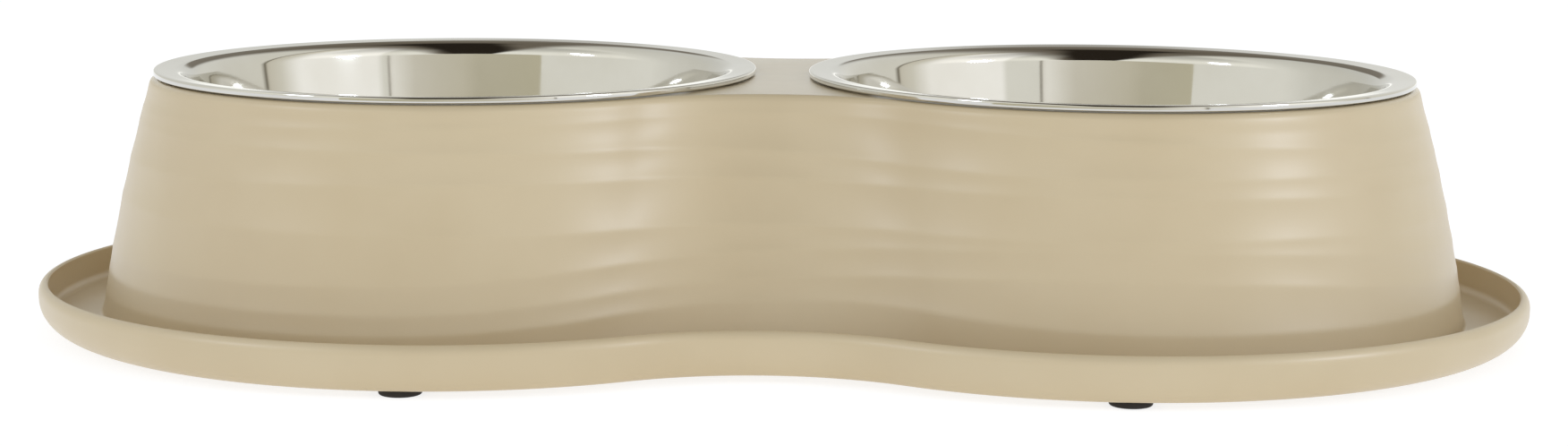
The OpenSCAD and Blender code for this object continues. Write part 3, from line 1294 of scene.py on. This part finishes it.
    def build_light(self, t: NodeTree, x: Socket, z: Socket) -> Socket:
        """The sky that lights the object: warm low in front and behind, cool at the sides, dimmer above.

        Args:
            t: The world's nodes.
            x: X of the direction.
            z: Z of the direction.

        Returns:
            The colour socket.
        """
        around = t.blend(t.fade(t.math("ABSOLUTE", x), self.to_side), self.low, self.side)
        return t.blend(t.fade(z, self.to_high), around, self.high)


@dataclass(frozen=True)
class Studio:
    """Plain white studio: a pale floor, the sky, a low panel in front that only mirrors show, and the lamps.

    The floor has two looks: one for light, and one for the camera and for mirrors, with a colour and a glow
    each. The fade of its glow goes from the first to the second.
    """

    floor_size: float = 12.0
    floor_colour: Colour = (0.80, 0.80, 0.79, 1.0)
    floor_shown: Colour = (0.32, 0.32, 0.32, 1.0)
    floor_glow: Fade = Fade(0.0, 1.0, 0.34, 0.80)
    glow_colour: Colour = (1.0, 1.0, 1.0, 1.0)

    panel_place: float = -0.48
    panel_left: float = -0.391
    panel_right: float = 0.362
    panel_top: float = 0.25
    panel_reach: Fade = Fade(-0.4, 0.4)
    panel_shades: Stops = (
        (-0.391, (187, 182, 160)), (-0.10, (187, 182, 163)), (-0.03, (196, 191, 174)),
        (0.19, (206, 202, 190)), (0.32, (234, 232, 226)), (0.345, (228, 225, 218)),
        (0.348, (150, 146, 136)), (0.362, (150, 146, 136)),
    )

    sky: Sky = Sky()
    lamps: tuple[Lamp, ...] = (
        Lamp("right", 4.0, 0.25, (1.42, -0.79, 0.62), True),
        Lamp("left", 2.1, 0.25, (-1.25, -0.81, 0.83), True),
        Lamp("front", 2.0, 1.2, (-0.3, -1.9, 0.35), False),
    )

    def build(self) -> None:
        """Makes the floor, the sky, the front panel and the lamps."""
        self.build_floor()
        self.sky.build()
        self.build_panel()
        for lamp in self.lamps:
            lamp.build()

    def build_floor(self) -> None:
        """A wide flat floor whose faint glow turns it white for the camera and mirrors, but keeps shadows."""
        half = self.floor_size / 2
        corners = [(-half, -half, 0.0), (half, -half, 0.0), (half, half, 0.0), (-half, half, 0.0)]
        _, t = self.sheet("floor", corners)
        path = t.node("LightPath")
        seen = t.math("MAXIMUM", path.outputs["Is Camera Ray"], t.mirrored(path))
        matt = t.node("BsdfDiffuse", {"Color": t.blend(seen, self.floor_colour, self.floor_shown)})
        glow = t.node("Emission", {"Color": self.glow_colour, "Strength": t.fade(seen, self.floor_glow)})
        both = t.node("AddShader", {0: matt.outputs["BSDF"], 1: glow.outputs["Emission"]})
        t.node("OutputMaterial", {"Surface": both.outputs["Shader"]})

    def build_panel(self) -> None:
        """A low upright panel in front: beige at its left end, pale at its right, with a grey right edge."""
        left, right, y, top = self.panel_left, self.panel_right, self.panel_place, self.panel_top
        corners = [(left, y, 0.0), (right, y, 0.0), (right, y, top), (left, y, top)]
        panel, t = self.sheet("front_panel", corners)
        panel.visible_camera = False
        panel.visible_diffuse = False
        panel.visible_shadow = False
        where = t.node("SeparateXYZ", {"Vector": t.node("TexCoord").outputs["Object"]}).outputs["X"]
        shades = t.ramp(where, self.panel_reach, self.panel_shades)
        glow = t.node("Emission", {"Color": shades, "Strength": MIRROR_GAIN})
        t.node("OutputMaterial", {"Surface": glow.outputs["Emission"]})

    def sheet(self, name: str, corners: list[Place]) -> tuple[bpy.types.Object, NodeTree]:
        """A flat sheet of the studio, which isn't part of the object, with an empty material.

        Args:
            name: Its name.
            corners: Its corners, in order.

        Returns:
            The sheet and its material's nodes.
        """
        mesh = bpy.data.meshes.new(name)
        mesh.from_pydata(corners, [], [tuple(range(len(corners)))])
        made = bpy.data.objects.new(name, mesh)
        bpy.context.scene.collection.objects.link(made)
        material, t = fresh_material(name + "_paint")
        made.data.materials.append(material)
        return made, t


@dataclass(frozen=True)
class DoublePetBowl:
    """The whole object: one moulding, two bowls that lift out of it, and four feet."""

    stand: StandMoulding = StandMoulding()
    bowl: SteelBowl = SteelBowl()
    foot: RubberFoot = RubberFoot()

    def dress(self, piece: bpy.types.Object, material: bpy.types.Material, body: str,
              node: str) -> None:
        """Gives a piece its finish and ties it to the frame.

        Args:
            piece: The piece.
            material: Its finish.
            body: The body that it moves with.
            node: The frame's node that it stands for.
        """
        piece.data.materials.append(material)
        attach(piece, body)
        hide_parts(node)
        LOG.info("%s rides on %s and stands for %s", piece.name, body, node)

    def build(self) -> None:
        """Builds and dresses every piece, the stand first."""
        feet = [(side, row) for row in Row for side in Side]
        stand = self.stand.build("stand_moulding", [self.foot.place(side, row) for side, row in feet])
        plastic = MouldedPlastic().make("moulded_plastic")
        self.dress(stand, plastic, "stand_body", "stand")
        for side in Side:
            word = side.name.lower()
            middle = (side.value * self.stand.half_pitch, 0.0)
            shell = self.bowl.build(f"bowl_{word}_shell", middle)
            steel = MirrorSteel().make(f"mirror_steel_{word}", middle)
            self.dress(shell, steel, f"{word}_bowl_body", f"bowl_{word}")
        rubber = FootRubber().make("foot_rubber")
        for side, row in feet:
            word = f"foot_{row.name.lower()}_{side.name.lower()}"
            pad = self.foot.build(word + "_pad", self.foot.place(side, row))
            self.dress(pad, rubber, "stand_body", word)


def main() -> None:
    """Loads the frame, builds the object, the studio and the camera."""
    logging.basicConfig(level=logging.INFO, format="%(name)s: %(message)s")
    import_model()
    DoublePetBowl().build()
    Studio().build()
    Viewpoint().build()
    bpy.context.scene.view_settings.view_transform = "Standard"


if __name__ == "__main__":
    main()
